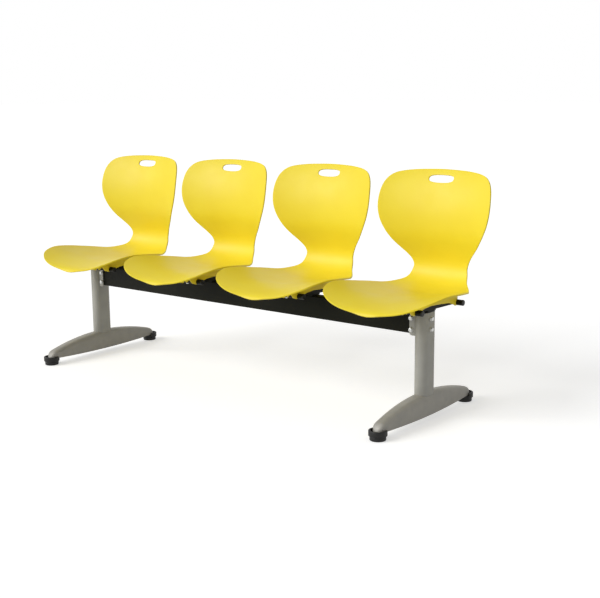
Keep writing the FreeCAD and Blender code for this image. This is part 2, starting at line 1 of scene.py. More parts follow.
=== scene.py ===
# %% [markdown]
# # Beam seating for a waiting room
# Four moulded seats share one steel beam between two legs, and four levelling glides carry the legs.
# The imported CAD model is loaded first, because every new piece is placed by it and moves with its bodies.
# A new piece stands for a CAD node and shows what the plain solid leaves out: smooth curves, rounded edges,
# threads and bolt heads.

# %% Load the CAD frame
import math
import bpy
import bmesh
from mathutils import Matrix, Vector


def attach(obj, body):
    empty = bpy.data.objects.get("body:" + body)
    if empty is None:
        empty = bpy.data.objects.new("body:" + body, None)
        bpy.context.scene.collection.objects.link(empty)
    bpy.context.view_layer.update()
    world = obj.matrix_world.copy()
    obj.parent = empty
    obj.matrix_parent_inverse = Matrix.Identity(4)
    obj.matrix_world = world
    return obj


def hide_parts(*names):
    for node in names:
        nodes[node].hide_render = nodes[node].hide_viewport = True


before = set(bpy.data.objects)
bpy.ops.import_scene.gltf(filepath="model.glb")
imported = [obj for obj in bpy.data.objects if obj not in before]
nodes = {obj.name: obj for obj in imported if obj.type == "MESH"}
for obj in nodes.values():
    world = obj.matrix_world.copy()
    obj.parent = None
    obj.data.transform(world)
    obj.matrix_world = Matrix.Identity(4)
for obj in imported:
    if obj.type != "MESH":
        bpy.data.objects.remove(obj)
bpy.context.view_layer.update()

# %% [markdown]
# ## Sizes and small helpers
# The pieces are drawn in millimetres, as a workshop would, and shrunk to metres when they are finished.
# A finished piece keeps its place in its mesh, so that its object stays at the origin like a CAD node.
# Moving the object would be quicker, but then the patterns of its material would move with it.

# %% Sizes shared by the pieces, in millimetres
MM = 0.001
SEATS, SEAT_PITCH = 4, 480
SEAT_MIDDLES = [(k - (SEATS - 1) / 2) * SEAT_PITCH for k in range(SEATS)]
BEAM_TOP = 373.5
LEG_X = 799
SIDES = (("left", -1), ("right", 1))
ENDS = (("front", -1), ("rear", 1))
print("seat middles:", SEAT_MIDDLES)

# %% Finish a piece
SPECK = 0.002


def finish_piece(bm, name, material, body="frame", replaces=(), smooth_below=35):
    """Turns a bmesh drawn in millimetres into a shown piece that rides on a body."""
    bmesh.ops.dissolve_degenerate(bm, dist=SPECK, edges=bm.edges)
    bmesh.ops.scale(bm, vec=Vector((MM,) * 3), verts=bm.verts)
    for face in bm.faces:
        face.smooth = True
    for edge in bm.edges:
        edge.smooth = edge.calc_face_angle(0) < math.radians(smooth_below)
    mesh = bpy.data.meshes.new(name)
    bm.to_mesh(mesh)
    bm.free()
    mesh.materials.append(material)
    piece = bpy.data.objects.new(name, mesh)
    bpy.context.scene.collection.objects.link(piece)
    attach(piece, body)
    if replaces:
        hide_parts(*replaces)
    return piece


print("edges and faces under %.3f mm are dissolved" % SPECK)

# %% [markdown]
# ## Materials
# Each material starts from the real stuff and how its surface was made.
# Colours are written as sRGB hex values, as a paint chart gives them, and one function turns them to the
# linear values that shaders use. A second function adds any kind of node with its settings and links.

# %% Colour and node helpers
def linear(hex_colour):
    """The linear colour of an sRGB hex value."""
    parts = [int(hex_colour[k:k + 2], 16) / 255 for k in (1, 3, 5)]
    return [c / 12.92 if c <= 0.04045 else ((c + 0.055) / 1.055) ** 2.4 for c in parts] + [1]


def add_node(tree, kind, values=None, links=None, **settings):
    """Adds a node with its settings, fills in its inputs and joins other nodes' outputs to it."""
    node = tree.nodes.new(kind)
    for name, value in settings.items():
        setattr(node, name, value)
    for name, value in (values or {}).items():
        node.inputs[name].default_value = value
    for name, socket in (links or {}).items():
        tree.links.new(socket, node.inputs[name])
    return node


print("middle grey #808080 in linear light: %.3f" % linear("#808080")[0])

# %% [markdown]
# Real surfaces are never one flat colour. Noise on Object coordinates gives soft patches of two near
# colours, an uneven gloss and a fine relief, and it needs no UV map. Its scale is a size in millimetres, so
# that each pattern can be checked against the real one.

# %% A finish from three layers of noise
FIRST_COLOUR, SECOND_COLOUR, MIXED_COLOUR = 6, 7, 2  # the places of a Mix node's colour sockets


def grain(tree, place, size_mm, detail=2.0, roughness=0.5):
    """Noise whose blobs are about size_mm across."""
    values = {"Scale": 1 / (size_mm * MM), "Detail": detail, "Roughness": roughness}
    return add_node(tree, "ShaderNodeTexNoise", values, {"Vector": place}).outputs["Fac"]


def spread(tree, fac, low, high, fac_low=0.3, fac_high=0.7):
    """Turns noise into a number between low and high."""
    values = {"From Min": fac_low, "From Max": fac_high, "To Min": low, "To Max": high}
    return add_node(tree, "ShaderNodeMapRange", values, {"Value": fac}).outputs["Result"]


def between(tree, fac, first, second):
    """A colour between two, by a factor from 0 to 1."""
    values = {FIRST_COLOUR: linear(first), SECOND_COLOUR: linear(second)}
    return add_node(tree, "ShaderNodeMix", values, {0: fac}, data_type="RGBA").outputs[MIXED_COLOUR]


def finish(name, colours, patch_mm, gloss, gloss_mm, bump_mm, bump_height_mm, **sockets):
    """A surface with soft patches of two colours, uneven gloss and a fine relief."""
    material = bpy.data.materials.new(name)
    material.use_nodes = True
    tree = material.node_tree
    shader = tree.nodes["Principled BSDF"]
    place = add_node(tree, "ShaderNodeTexCoord").outputs["Object"]
    patches = spread(tree, grain(tree, place, patch_mm, detail=3), 0, 1)
    tree.links.new(between(tree, patches, *colours), shader.inputs["Base Color"])
    shine = spread(tree, grain(tree, place, gloss_mm, detail=3), *gloss)
    tree.links.new(shine, shader.inputs["Roughness"])
    relief = {"Height": grain(tree, place, bump_mm, detail=1.5)}
    bump = add_node(tree, "ShaderNodeBump", {"Strength": 1.0, "Distance": bump_height_mm * MM}, relief)
    tree.links.new(bump.outputs["Normal"], shader.inputs["Normal"])
    for socket, value in sockets.items():
        shader.inputs[socket.replace("_", " ")].default_value = value
    print("material:", name)
    return material


# %% [markdown]
# The shells are injection-moulded polypropylene with a fine spark-eroded grain: the eye sees a satin
# yellow with broad soft highlights. A little light enters the plastic, which subsurface scattering gives.
# The real grain is about 0.3 mm and is drawn at 1 mm so that it shows.

# %% Moulded polypropylene
yellow_polypropylene = finish(
    "moulded_yellow_polypropylene",
    ("#F2DC30", "#EFD72A"),
    patch_mm=140,
    gloss=(0.42, 0.50),
    gloss_mm=60,
    bump_mm=1.0,
    bump_height_mm=0.02,
    IOR=1.49,
    Specular_IOR_Level=0.35,
    Subsurface_Weight=0.05,
    Subsurface_Scale=0.004,
    Subsurface_Radius=(1.0, 0.85, 0.2),
)

# %% [markdown]
# The legs have a silver-grey powder coat with a few metal flakes, over steel tube and aluminium castings.
# Powder melts into a relief like orange peel about 1.5 mm across, which makes long highlights look slightly
# broken. On the castings the sand's grain adds a coarser relief.

# %% Grey powder coats
grey_powder_coat = finish(
    "silver_grey_powder_coat_on_steel",
    ("#9D9C95", "#A5A49D"),
    patch_mm=45,
    gloss=(0.40, 0.50),
    gloss_mm=5,
    bump_mm=1.5,
    bump_height_mm=0.02,
    Metallic=0.12,
    Specular_IOR_Level=0.35,
)
grey_cast_coat = finish(
    "silver_grey_powder_coat_on_casting",
    ("#9F9D96", "#A8A59D"),
    patch_mm=30,
    gloss=(0.44, 0.54),
    gloss_mm=6,
    bump_mm=2.2,
    bump_height_mm=0.04,
    Metallic=0.12,
    Specular_IOR_Level=0.35,
)

# %% [markdown]
# The beam and the seat brackets are welded steel with a black, half-gloss powder coat. Its reflections are
# weak, so that the beam stays nearly as dark as its colour. The faint yellow in its two blacks is a painted
# reflection of the yellow seats above them; the coat itself is plain black.

# %% Black powder coat
black_coat_with_painted_reflection = finish(
    "black_powder_coat_on_steel",
    ("#14150C", "#18190F"),
    # The faint yellow in both blacks is a painted reflection of the yellow seats; the coat itself is plain
    # black.
    patch_mm=60,
    gloss=(0.40, 0.52),
    gloss_mm=8,
    bump_mm=1.4,
    bump_height_mm=0.03,
    Specular_IOR_Level=0.10,
)

# %% [markdown]
# Caps, cups and glide bases are moulded nylon, which is a little duller and has a coarse matt grain. That
# grain is about 0.4 mm on the real pieces and is drawn at 0.8 mm.

# %% Black nylon
black_nylon = finish(
    "moulded_black_nylon",
    ("#121211", "#191918"),
    patch_mm=25,
    gloss=(0.42, 0.55),
    gloss_mm=4,
    bump_mm=0.8,
    bump_height_mm=0.03,
    IOR=1.53,
    Specular_IOR_Level=0.3,
)

# %% [markdown]
# The bolts are bright zinc-plated steel: a clear metal with slightly uneven brightness from handling. A
# metal keeps the default IOR, because its colour alone says how it reflects.

# %% Zinc plate
zinc_plate = finish(
    "zinc_plated_steel",
    ("#C9C9C4", "#B7B8B6"),
    patch_mm=4,
    gloss=(0.24, 0.40),
    gloss_mm=3,
    bump_mm=0.9,
    bump_height_mm=0.01,
    Metallic=1.0,
)

# %% [markdown]
# ## Seat shell: middle line
# The shell is one bent sheet. Its section down the middle is a chain of arcs from the rolled front lip,
# over the seat pan and round the bend behind it, to the top of the back. It could be sculpted, but arcs can
# be read from a photograph and corrected one by one. A position on the sheet is then a distance along that
# line and a distance sideways, as on a flat blank before it is bent.

# %% Middle line of the shell
LIP_START = (-234.0, 382.0)
SHELL_RUNS = (  # name, radius in millimetres or None for a straight run, and turn in degrees or length
    ("lip", 16, -64),
    ("nose", 130, -12),
    ("thigh", 410, -17),
    ("pan", None, 184),
    ("hollow", 190, 25),
    ("bend", 71, 93),
    ("waist", None, 54),
    ("lumbar", 150, -21),
    ("back", 320, -38),
)
BOW_RADIUS = 760


def run_length(radius, turn):
    return turn if radius is None else radius * abs(math.radians(turn))


def line_at(s):
    """Place (y, z) and heading of the middle line at a distance s from the lip."""
    (y, z), heading = LIP_START, math.pi / 2
    for name, radius, turn in SHELL_RUNS:
        last = name == SHELL_RUNS[-1][0]
        step = s if last else min(s, run_length(radius, turn))
        if radius is None:
            y, z = y + step * math.cos(heading), z + step * math.sin(heading)
        else:
            bend = math.copysign(radius, turn)
            now = heading + step / bend
            y += bend * (math.sin(now) - math.sin(heading))
            z += bend * (math.cos(heading) - math.cos(now))
            heading = now
        s -= step
        if s <= 0:
            break
    return y, z, heading


def bow(x):
    """How much higher than its middle the sheet stands at x across."""
    return BOW_RADIUS - math.sqrt(BOW_RADIUS**2 - x * x)


def on_shell(x, s, below=0.0):
    """The point of the sitting surface at x across and s along, or that far below it."""
    y, z, heading = line_at(s)
    rise = bow(x) - below
    return Vector((x, y - math.sin(heading) * rise, z + math.cos(heading) * rise))


LINE_LENGTH = sum(run_length(radius, turn) for _, radius, turn in SHELL_RUNS)
TOP = on_shell(0, LINE_LENGTH)
print("line length %.1f mm, top edge at y %.1f z %.1f" % (LINE_LENGTH, TOP.y, TOP.z))

# %% [markdown]
# ## Seat shell: outline
# The outline is known from above for the pan, and from the front for the back, as half widths at a setback
# from the lip or a drop from the top. Each of its points is looked up on the bowed sheet, which gives one
# smooth edge curve on the flat blank.

# %% Outline points on the flat blank
PAN_OUTLINE = (
    (0, 0), (60, 1), (118, 4.5), (150, 12), (177, 25), (199, 43), (214, 66), (225, 100), (229.6, 140),
    (224, 201), (210, 254), (194, 306), (172, 356), (150, 394), (130, 421), (116, 439), (106.5, 456),
)
BACK_OUTLINE = (
    (104.0, 345), (112, 320), (127, 299), (146, 278), (170, 250), (192, 216), (208, 183), (217, 150),
    (220, 118), (218, 86), (213, 60), (203, 38), (184, 19.5), (154, 9.5), (104, 3.5), (50, 1), (0, 0),
)
LOOK_UPS = 1200
STEPS = [LINE_LENGTH * k / LOOK_UPS for k in range(LOOK_UPS + 1)]


def blank_point(half, gap_at, steps):
    """The first place along the line at which a gap closes, at a half width."""
    last, last_gap = None, None
    for s in steps:
        gap = gap_at(on_shell(half, s))
        if last_gap is not None and (gap >= 0) != (last_gap >= 0):
            return Vector((half, last + (s - last) * last_gap / (last_gap - gap)))
        last, last_gap = s, gap
    return Vector((half, last))


def pan_edge(half, setback):
    return blank_point(half, lambda p: p.y - LIP_START[0] - setback, STEPS)


def back_edge(half, drop):
    return blank_point(half, lambda p: TOP.z - drop - p.z, STEPS[::-1])


edge = [Vector((0, 0))] + [pan_edge(*p) for p in PAN_OUTLINE[1:]]
edge += [back_edge(*p) for p in BACK_OUTLINE[:-1]] + [Vector((0, LINE_LENGTH))]
print("edge points:", len(edge))

# %% Smooth edge curve
PER_SPAN = 12


def smooth_chain(points):
    """Points on a smooth curve through all the given ones, mirrored past both ends."""
    chain = []
    ahead = [Vector((-points[1].x, points[1].y))] + points + [Vector((-points[-2].x, points[-2].y))]
    for a, b, c, d in zip(ahead, ahead[1:], ahead[2:], ahead[3:]):
        for k in range(PER_SPAN):
            t = k / PER_SPAN
            squared, cubed = 2 * a - 5 * b + 4 * c - d, 3 * b - a - 3 * c + d
            chain.append(0.5 * (2 * b + (c - a) * t + squared * t**2 + cubed * t**3))
    return chain + [points[-1]]


edge_curve = smooth_chain(edge)
print("points on the edge curve:", len(edge_curve))

# %% [markdown]
# ## Seat shell: grid on the blank
# A sheet that bends well needs four-sided faces in even rows. A grid is laid over the blank, so that its
# rows and columns end on the edge curve, and its corners sit where the outline turns by 45 degrees. Cutting
# the outline out of a plain grid would be simpler, but would leave a ragged edge.

# %% Chains for the grid's four sides
FRONT_CORNER_POINT, TOP_CORNER_POINT = 5, -6


def nearest_on_curve(point):
    return min(range(len(edge_curve)), key=lambda k: (edge_curve[k] - point).length)


def walk(chain, share):
    """The point at a share of a chain's whole length."""
    spans = [(b - a).length for a, b in zip(chain, chain[1:])]
    left = share * sum(spans)
    for (a, b), span in zip(zip(chain, chain[1:]), spans):
        if left <= span:
            return a + (b - a) * (left / span if span else 0)
        left -= span
    return chain[-1].copy()


def at_level(chain, s):
    """The point of the side's edge curve at a distance s along."""
    for a, b in zip(chain, chain[1:]):
        if a.y <= s <= b.y and b.y > a.y:
            return a + (b - a) * ((s - a.y) / (b.y - a.y))
    return chain[0].copy() if s < chain[0].y else chain[-1].copy()


front_corner = nearest_on_curve(edge[FRONT_CORNER_POINT])
top_corner = nearest_on_curve(edge[TOP_CORNER_POINT])
front_chain = edge_curve[:front_corner + 1]
side_chain = edge_curve[front_corner:top_corner + 1]
top_chain = edge_curve[top_corner:][::-1]
print("points in front, at the side and on top:", len(front_chain), len(side_chain), len(top_chain))

# %% Place of a grid corner on the blank
BLEND_REACH = 0.3


def fade(distance):
    """One at no distance, nothing past the reach, and smooth between."""
    t = max(0.0, 1 - distance / BLEND_REACH)
    return t * t * (3 - 2 * t)


def blank_spot(u, v):
    """Where the grid's corner (u from -1 to 1, v from 0 to 1) goes on the flat blank."""
    share = abs(u)
    low, high = side_chain[0], side_chain[-1]
    side = at_level(side_chain, low.y + v * (high.y - low.y))
    spot = Vector((share * side.x, (1 - share) * v * LINE_LENGTH + share * side.y))
    flat_front = Vector((share * low.x, share * low.y))
    spot += (walk(front_chain, share) - flat_front) * fade(v)
    flat_top = Vector((share * high.x, (1 - share) * LINE_LENGTH + share * high.y))
    spot += (walk(top_chain, share) - flat_top) * fade(1 - v)
    return Vector((math.copysign(spot.x, u), spot.y, 0))


print("halfway up the edge the blank is %.0f mm wide" % (2 * blank_spot(1, 0.5).x))

# %% [markdown]
# ## Seat shell: hand slot
# Each back has a slot to lift the seats by. A boolean would leave narrow slivers that shade badly on a
# curved sheet, so the grid's faces inside the slot are deleted and the rim of the cut is drawn onto the
# slot's outline. The outline is a squarish oval, whose corners crowd at its round ends.

# %% Slot outline
SLOT_HALF_LENGTH, SLOT_HALF_HEIGHT, SLOT_DROP = 49, 13.5, 32
SLOT_POWER, END_CROWDING = 0.72, 0.19
slot_row = back_edge(0, SLOT_DROP).y
slot_lean = math.sin(line_at(slot_row)[2])


def slot_gap(spot):
    """How far a spot of the blank is from the slot's core line, as seen from the front."""
    reach = SLOT_HALF_LENGTH - SLOT_HALF_HEIGHT
    core = Vector((max(-reach, min(reach, spot.x)), 0))
    return (Vector((spot.x, (spot.y - slot_row) * slot_lean)) - core).length


def slot_outline(share):
    """The point at a share of the way round the slot, from its right end, as (x, height)."""
    turn = 2 * math.pi * share
    turn -= END_CROWDING * math.sin(2 * turn)
    c, s = math.cos(turn), math.sin(turn)
    x = SLOT_HALF_LENGTH * math.copysign(abs(c) ** SLOT_POWER, c)
    return x, SLOT_HALF_HEIGHT * math.copysign(abs(s) ** SLOT_POWER, s)


print("slot at %.1f mm along, leaning %.2f" % (slot_row, slot_lean))

# %% Make the blank
ACROSS, ALONG = 44, 96
SLOT_SURROUND, OUTER_EDGE, SETTLE_ROUNDS = 3 * SLOT_HALF_HEIGHT, 8, 4


def make_blank():
    """The flat blank of one shell, with its hand slot."""
    bm = bmesh.new()
    bmesh.ops.create_grid(bm, x_segments=ACROSS, y_segments=ALONG, size=1)
    for vert in bm.verts:
        vert.co = blank_spot(vert.co.x, (vert.co.y + 1) / 2)
    inside = [f for f in bm.faces if slot_gap(f.calc_center_median()) < SLOT_HALF_HEIGHT]
    bmesh.ops.delete(bm, geom=inside, context="FACES")
    near = [v for v in bm.verts if slot_gap(v.co) < SLOT_SURROUND]
    rim = [v for v in near if v.is_boundary and v.co.y < LINE_LENGTH - OUTER_EDGE]
    rim.sort(key=lambda v: math.atan2(v.co.y - slot_row, v.co.x) % (2 * math.pi))
    upper = sum(v.co.y > slot_row for v in rim)
    first = (len(rim) / 2 - upper + 1) / 2
    for _ in range(SETTLE_ROUNDS):
        for k, vert in enumerate(rim):
            x, rise = slot_outline((k + first) / len(rim))
            vert.co = Vector((x, slot_row + rise / slot_lean, 0))
        around = [v for v in bm.verts if slot_gap(v.co) < SLOT_SURROUND and not v.is_boundary]
        bmesh.ops.smooth_vert(bm, verts=around, factor=0.5, use_axis_x=True, use_axis_y=True, use_axis_z=True)
    return bm


blank = make_blank()
print("blank:", len(blank.faces), "faces")

# %% [markdown]
# ## Seat shell: bending and wall
# Every corner of the blank is moved to its place on the bent sheet, as a press would bend it. Subdivision
# Surface smooths the sheet between the corners, Solidify gives the moulded wall, and Bevel breaks its edges
# as the mould does. As modifiers, the three can be tuned without drawing the sheet again.

# %% Wall of the shell
WALL, EDGE_ROUND = 5, 1.4


def smooth_wall(piece):
    """A moulded wall on an open sheet, with rounded edges."""
    smooth = piece.modifiers.new("smooth sheet", "SUBSURF")
    smooth.levels = smooth.render_levels = 1
    wall = piece.modifiers.new("moulded wall", "SOLIDIFY")
    wall.thickness, wall.offset = WALL * MM, -1
    wall.use_even_offset = True
    rounds = piece.modifiers.new("broken edges", "BEVEL")
    rounds.width, rounds.segments = EDGE_ROUND * MM, 2
    rounds.limit_method, rounds.angle_limit = "ANGLE", math.radians(50)


print("wall %.0f mm, edges rounded by %.1f mm" % (WALL, EDGE_ROUND))

# %% Make the four shells
for index, middle in enumerate(SEAT_MIDDLES, start=1):
    bm = blank.copy()
    for vert in bm.verts:
        vert.co = on_shell(vert.co.x, vert.co.y) + Vector((middle, 0, 0))
    bmesh.ops.recalc_face_normals(bm, faces=bm.faces)
    name, node = "shell_%d" % index, "seat_shell_%d" % index
    shell = finish_piece(bm, name, yellow_polypropylene, replaces=[node])
    in_the_pan = shell.data.polygons[len(shell.data.polygons) // 3]
    if in_the_pan.normal.z < 0:
        shell.data.flip_normals()
    smooth_wall(shell)
blank.free()
print("shells:", SEATS)

# %% [markdown]
# ## Ribs and posts under the shell
# Two ribs stiffen the pan. Their lower edges hook round the steel cross tubes, and in front they end in a
# short comb, which shows as pale teeth below the seat's edge. Four posts take the screws. A rib is a flat
# plate, so its outline is drawn once from the side and pulled out, with its upper edge inside the shell's
# wall so that both read as one moulding.

# %% Look-ups and edges for moulded solids
BEFORE_BEND, LIP_END, LIP_PENALTY = 560, 12, 50


def underside(x, y):
    """The point inside the shell's wall over a place in plan, past the rolled lip."""
    inside = [s for s in STEPS if s < BEFORE_BEND]
    miss = lambda s: abs(on_shell(x, s, WALL / 2).y - y) + (0 if s > LIP_END else LIP_PENALTY)
    return on_shell(x, min(inside, key=miss), WALL / 2)


def extrude_outline(bm, corners, sweep):
    """Pulls a flat outline out into a solid plate."""
    face = bm.faces.new([bm.verts.new(c) for c in corners])
    pulled = bmesh.ops.extrude_face_region(bm, geom=[face])["geom"]
    far = [item for item in pulled if isinstance(item, bmesh.types.BMVert)]
    bmesh.ops.translate(bm, vec=sweep, verts=far)


def break_edges(bm, width, segments=2, above=30):
    """Rounds every edge that turns more than an angle."""
    sharp = [e for e in bm.edges if e.calc_face_angle(0) > math.radians(above)]
    bmesh.ops.bevel(
        bm, geom=sharp, offset=width, segments=segments, profile=0.5,
        affect="EDGES", material=-1, clamp_overlap=True,
    )


print("over the beam the wall's middle is at z %.1f" % underside(0, 0).z)

# %% Ribs with combs, and screw posts
RIB_SPREAD, RIB_THICK = 112, 4
RIB_REAR, RIB_FRONT, RIB_STEP = 150, -210, -18
RIB_EDGE = (
    (-212, 28), (-187, 20.5), (-178, 29), (-168, 19.5), (-154, 29), (-138, 11.5), (-122, 6), (-98, 6),
    (-90, 12.5), (-60, 19), (-20, 22), (40, 18.5), (96, 13), (126, 4), (136, -2.5), (152, -2.5),
)
TUBES = (("front", -110, 388), ("rear", 150, 381))
POST_SPREAD, POST_WIDTH = 60, 16


def rib_corners(side):
    x = side * RIB_SPREAD
    lower = [Vector((x, y, BEAM_TOP + rise)) for y, rise in RIB_EDGE]
    return lower + [underside(x, y) for y in range(RIB_REAR, RIB_FRONT - 1, RIB_STEP)]


def add_post(bm, x, y, foot):
    """A square post from a cross tube's middle up into the shell's wall."""
    top = underside(POST_SPREAD, y).z
    made = bmesh.ops.create_cube(bm, size=1)["verts"]
    bmesh.ops.scale(bm, vec=Vector((POST_WIDTH, POST_WIDTH, top - foot)), verts=made)
    bmesh.ops.translate(bm, vec=Vector((x, y, (top + foot) / 2)), verts=made)


for index, middle in enumerate(SEAT_MIDDLES, start=1):
    bm = bmesh.new()
    shift = Vector((middle - RIB_THICK / 2, 0, 0))
    for side in (-1, 1):
        extrude_outline(bm, [c + shift for c in rib_corners(side)], Vector((RIB_THICK, 0, 0)))
        for _, y, z in TUBES:
            add_post(bm, middle + side * POST_SPREAD, y, z)
    bmesh.ops.recalc_face_normals(bm, faces=bm.faces)
    break_edges(bm, 0.7, above=20)
    finish_piece(bm, "shell_ribs_%d" % index, yellow_polypropylene)
print("rib sets:", SEATS)

# %% [markdown]
# ## Beam, leg brackets and seat brackets
# These are plain steel sections whose CAD shape is right. A CAD mesh is loose triangles, so a copy of each
# is merged and its flat faces are joined. It then gets small rounded edges, because folded and sawn steel
# never has a knife edge and the rounding catches the light.

# %% Soften copies of the steel pieces
MERGE_GAP, SAME_PLANE = 0.01, 1


def softened_copy(node_name, new_name, material, width):
    bm = bmesh.new()
    bm.from_mesh(nodes[node_name].data)
    bmesh.ops.scale(bm, vec=Vector((1 / MM,) * 3), verts=bm.verts)
    bmesh.ops.remove_doubles(bm, verts=bm.verts, dist=MERGE_GAP)
    bmesh.ops.dissolve_limit(bm, angle_limit=math.radians(SAME_PLANE), verts=bm.verts, edges=bm.edges)
    break_edges(bm, width, above=40)
    finish_piece(bm, new_name, material, replaces=[node_name])


softened_copy("beam", "steel_beam", black_coat_with_painted_reflection, 0.6)
for side_name, _ in SIDES:
    node, name = "leg_bracket_" + side_name, "bolted_bracket_" + side_name
    softened_copy(node, name, grey_powder_coat, 0.8)
for index in range(1, SEATS + 1):
    node, name = "seat_bracket_%d" % index, "seat_frame_%d" % index
    softened_copy(node, name, black_coat_with_painted_reflection, 0.6)
print("softened:", 1 + len(SIDES) + SEATS)

# %% [markdown]
# ## Turned pieces
# Caps, cups, bases, stems and screws are round, so each is a profile spun about its axis, as on a lathe.
# The profile is a chain of points from the axis to the outside and back, and a full spin closes on itself.

# %% Spin a profile
WELD = 0.0005


def added(bm, before):
    """The vertices that a bmesh has gained since the set of them was taken."""
    return [v for v in bm.verts if v not in before]


def spin_profile(bm, profile, middle=(0, 0, 0), steps=48):
    """A closed turned solid about a vertical axis; profile holds (radius, height) pairs, axis to axis."""
    before = set(bm.verts)
    chain = [bm.verts.new((r, 0, z)) for r, z in profile]
    edges = [bm.edges.new(pair) for pair in zip(chain, chain[1:])]
    bmesh.ops.spin(
        bm, geom=chain + edges, cent=(0, 0, 0), axis=(0, 0, 1), angle=2 * math.pi, steps=steps, use_merge=True
    )
    bmesh.ops.remove_doubles(bm, verts=added(bm, before), dist=WELD)
    bmesh.ops.translate(bm, vec=Vector(middle), verts=added(bm, before))


def rounded(corner, radius, steps=4):
    """Points of a quarter round in place of an outer corner (r, z), from its side to its top."""
    r, z = corner
    angles = [math.pi / 2 * k / steps for k in range(steps + 1)]
    return [(r - radius + radius * math.cos(a), z - radius + radius * math.sin(a)) for a in angles]


def aim(bm, verts, way, place):
    """Turns an upright solid so that its axis points along way, and moves it to its place."""
    turn = Vector(way).to_track_quat("Z", "Y").to_matrix()
    bmesh.ops.rotate(bm, cent=(0, 0, 0), matrix=turn, verts=verts)
    bmesh.ops.translate(bm, vec=Vector(place), verts=verts)


print("a rounded corner has", len(rounded((10, 5), 2)), "points")

# %% [markdown]
# ## Columns and their caps
# Each leg is a flat-oval steel tube, with a black cap pressed into its top. A circle is pulled apart into a
# flat oval and extruded, which keeps both its ends truly round, and the cap is the same outline with a well
# rounded rim. The tube's inside never shows, so it stays a solid bar.

# %% Columns and caps
COLUMN_HALF_WIDTH, COLUMN_HALF_DEPTH, OVAL_STEPS = 24, 40, 64
COLUMN_LOW, COLUMN_TOP, CAP_RIM, CAP_INSET = 64, 370, 3, 0.2


def flat_oval(bm, side, low, high, inset=0.0):
    """A solid bar with a flat-oval outline, standing on a leg's middle."""
    radius = COLUMN_HALF_WIDTH - inset
    made = bmesh.ops.create_circle(bm, cap_ends=True, radius=radius, segments=OVAL_STEPS)["verts"]
    half_step = Matrix.Rotation(math.pi / OVAL_STEPS, 3, "Z")
    bmesh.ops.rotate(bm, cent=(0, 0, 0), matrix=half_step, verts=made)
    for vert in made:
        vert.co.y += math.copysign(COLUMN_HALF_DEPTH - COLUMN_HALF_WIDTH, vert.co.y)
    bmesh.ops.translate(bm, vec=Vector((side * LEG_X, 0, low)), verts=made)
    pulled = bmesh.ops.extrude_face_region(bm, geom=[made[0].link_faces[0]])["geom"]
    far = [item for item in pulled if isinstance(item, bmesh.types.BMVert)]
    bmesh.ops.translate(bm, vec=Vector((0, 0, high - low)), verts=far)
    bmesh.ops.recalc_face_normals(bm, faces=bm.faces)


for side_name, side in SIDES:
    bm = bmesh.new()
    flat_oval(bm, side, COLUMN_LOW, COLUMN_TOP)
    break_edges(bm, 0.5, above=60)
    name, node = "leg_column_" + side_name, "column_" + side_name
    finish_piece(bm, name, grey_powder_coat, replaces=[node])

caps = bmesh.new()
for _, side in SIDES:
    flat_oval(caps, side, COLUMN_TOP, COLUMN_TOP + CAP_RIM, inset=CAP_INSET)
break_edges(caps, 1.8, segments=4, above=60)
finish_piece(caps, "column_end_caps", black_nylon, replaces=["column_caps"])
print("columns:", len(SIDES), "from", COLUMN_LOW, "to", COLUMN_TOP + CAP_RIM, "mm with their caps")

# %% [markdown]
# ## Feet
# Each foot is one casting shaped like an upturned boat: it arches up to the column and slims down to a
# round nose at either end. It could be carved from a block, but a grid rolled into a tube, ring by ring,
# follows the foot's width, back and belly exactly. Each ring is a squarish oval, whose power sets how well
# rounded the shoulders and how square the keel edges are.

# %% Foot shape
FOOT_REACH, NOSE_RADIUS, FOOT_HALF_WIDTH = 286, 21.5, 34
CROWN, ARCH_RADIUS, BELLY, HEEL = 93, 960, 19, 23.8
HEEL_START, NOSE_DROP = 246, 24
SHOULDER_POWER, KEEL_POWER, WAIST_SHARE = 0.64, 0.28, 0.30


def foot_section(y):
    """Half width, bottom and top of the foot at a distance y from its middle."""
    nose_start = FOOT_REACH - NOSE_RADIUS
    reach = min(abs(y), FOOT_REACH)
    if reach <= nose_start:
        half = NOSE_RADIUS + (FOOT_HALF_WIDTH - NOSE_RADIUS) * (1 - (reach / nose_start) ** 2)
    else:
        half = math.sqrt(max(0.0, NOSE_RADIUS**2 - (reach - nose_start) ** 2))
    bottom = BELLY + (HEEL - BELLY) * min(1, (reach / HEEL_START) ** 2)
    past = max(0.0, reach - FOOT_REACH + NOSE_DROP)
    top = CROWN - (ARCH_RADIUS - math.sqrt(ARCH_RADIUS**2 - reach**2))
    top -= NOSE_DROP - math.sqrt(NOSE_DROP**2 - past**2)
    return half, bottom, top


def foot_skin(turn, y):
    """A point on the foot's skin, by how far round the section and how far along it lies."""
    half, bottom, top = foot_section(y)
    c, s = math.cos(turn), math.sin(turn)
    power = SHOULDER_POWER if s > 0 else KEEL_POWER
    waist = bottom + WAIST_SHARE * (top - bottom)
    height = top - waist if s > 0 else bottom - waist
    return Vector((half * math.copysign(abs(c) ** power, c), y, waist + height * abs(s) ** power))


print("foot at the column: half width %.1f, from %.1f to %.1f mm" % foot_section(0))

# %% Make the feet
AROUND, LENGTHWISE, SEAM_GAP = 56, 72, 0.02
for side_name, side in SIDES:
    bm = bmesh.new()
    bmesh.ops.create_grid(bm, x_segments=AROUND, y_segments=LENGTHWISE, size=1)
    for vert in bm.verts:
        turn = math.pi * (vert.co.x + 1)
        y = FOOT_REACH * math.sin(math.pi / 2 * vert.co.y)
        vert.co = foot_skin(turn, y) + Vector((side * LEG_X, 0, 0))
    bmesh.ops.remove_doubles(bm, verts=bm.verts, dist=SEAM_GAP)
    bmesh.ops.holes_fill(bm, edges=[e for e in bm.edges if e.is_boundary], sides=0)
    bmesh.ops.recalc_face_normals(bm, faces=bm.faces)
    name, node = "cast_foot_" + side_name, "foot_" + side_name
    finish_piece(bm, name, grey_cast_coat, replaces=[node], smooth_below=60)
print("feet:", len(SIDES))

